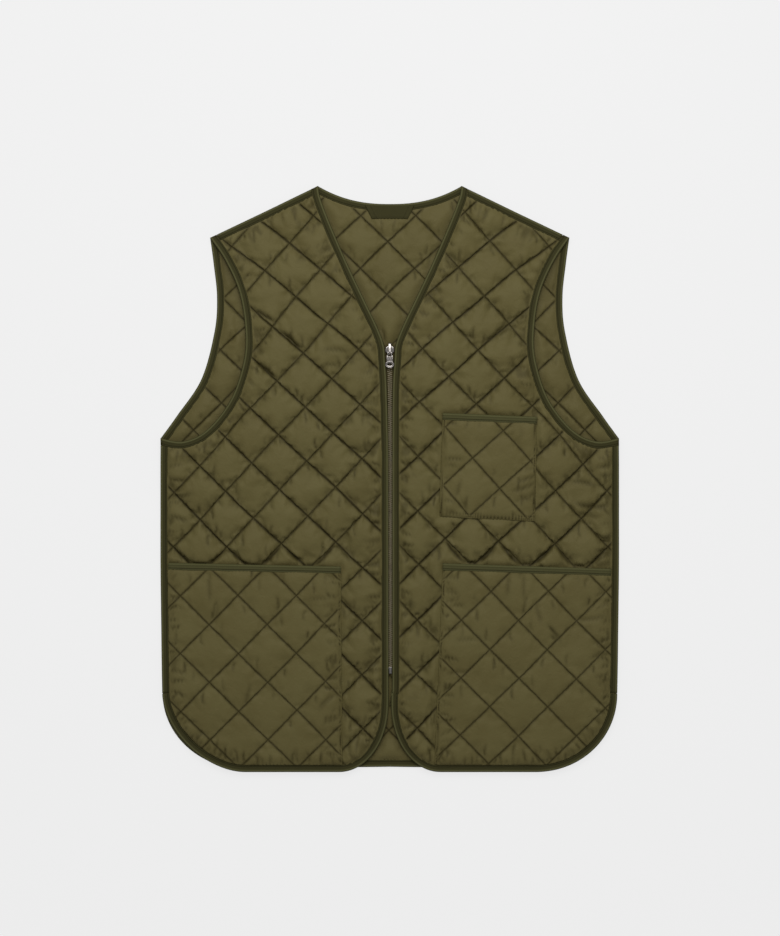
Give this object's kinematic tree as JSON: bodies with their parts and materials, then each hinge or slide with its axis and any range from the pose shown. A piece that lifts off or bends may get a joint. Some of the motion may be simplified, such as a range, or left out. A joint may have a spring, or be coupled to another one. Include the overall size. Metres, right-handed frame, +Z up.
{
  "type": "quilted vest",
  "caption": "Sleeveless diamond-quilted vest laid flat, with a V neck, a front zip with a hinged pull tab, bound edges, a chest pocket and patch pockets.",
  "frame": {"origin": "middle of the outline, on the surface that the vest lies on", "axes": "+Z up from the surface, through the front of the vest; +Y from the hem to the neck; +X to the wearer's left, which is the side with the chest pocket"},
  "size_m": [0.5598, 0.715, 0.0128],
  "materials": {
    "shell_nylon": "olive nylon taffeta with a soft sheen, diamond quilted over thin wadding",
    "binding_tape": "dark green folded binding tape, matt with a fine rib",
    "zip_tape": "brown-olive woven zip tape, matt",
    "zip_teeth": "dull antique brass",
    "zip_hardware": "bright nickel plate, lightly worn"
  },
  "bodies": {
    "vest": {"back_panel": "shell_nylon", "front_panel_left": "shell_nylon", "front_panel_right": "shell_nylon", "lower_pocket_left": "shell_nylon", "lower_pocket_right": "shell_nylon", "chest_pocket": "shell_nylon", "back_neck_binding": "binding_tape", "back_hem_binding": "binding_tape", "hanger_loop": "binding_tape", "chest_pocket_binding": "binding_tape", "front_edge_binding_left": "binding_tape", "front_edge_binding_right": "binding_tape", "front_armhole_binding_left": "binding_tape", "front_armhole_binding_right": "binding_tape", "back_armhole_binding_left": "binding_tape", "back_armhole_binding_right": "binding_tape", "side_seam_binding_left": "binding_tape", "side_seam_binding_right": "binding_tape", "shoulder_seam_binding_left": "binding_tape", "shoulder_seam_binding_right": "binding_tape", "lower_pocket_binding_left": "binding_tape", "lower_pocket_binding_right": "binding_tape", "zip_tape_left": "zip_tape", "zip_tape_right": "zip_tape", "zip_teeth_left": "zip_teeth", "zip_teeth_right": "zip_teeth", "zip_box": "zip_hardware", "zip_slider": "zip_hardware"},
    "pull_tab": {"zip_pull": "zip_hardware"}
  },
  "joints": [
    {"name": "zip_pull_hinge", "type": "hinge", "parent": "vest", "child": "pull_tab", "pos_m": [0, 0.1541, 0.0095], "axis": [-1, 0, 0], "range_deg": [0, 140]}
  ]
}
